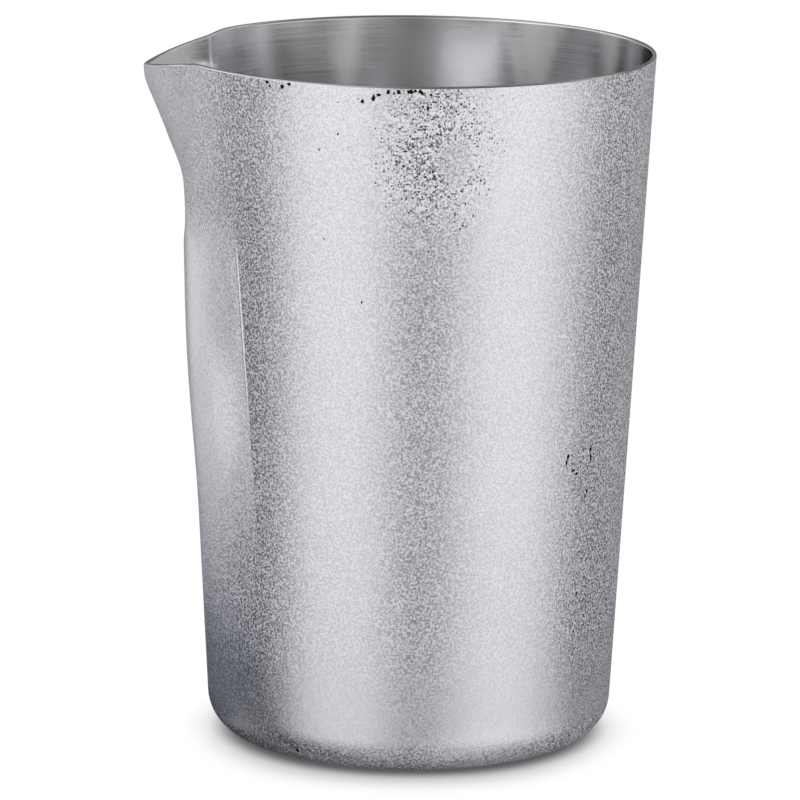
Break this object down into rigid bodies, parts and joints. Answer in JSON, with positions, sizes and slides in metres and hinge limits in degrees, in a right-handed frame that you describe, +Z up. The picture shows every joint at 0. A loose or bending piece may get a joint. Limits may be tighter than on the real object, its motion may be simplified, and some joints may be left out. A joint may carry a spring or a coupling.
{
  "type": "mixing glass",
  "caption": "Tapered stainless steel mixing glass for stirring drinks, with a pressed beak spout at its open mouth, a round base corner and a weight closed into its base.",
  "frame": {"origin": "on the cup's axis at the plane that it stands on", "axes": "+Z up along the cup's axis to its mouth, -X towards the tip of the spout, +Y away from the viewer of the picture"},
  "size_m": [0.0972, 0.091, 0.1319],
  "materials": {
    "shell_steel": "satin stainless sheet, misted outside and brushed round inside",
    "ballast_steel": "plain turned steel, hidden in the base",
    "cap_steel": "satin stainless sheet"
  },
  "bodies": {
    "root": {"cup_shell": "shell_steel", "ballast_disc": "ballast_steel", "base_cap": "cap_steel"}
  },
  "joints": []
}
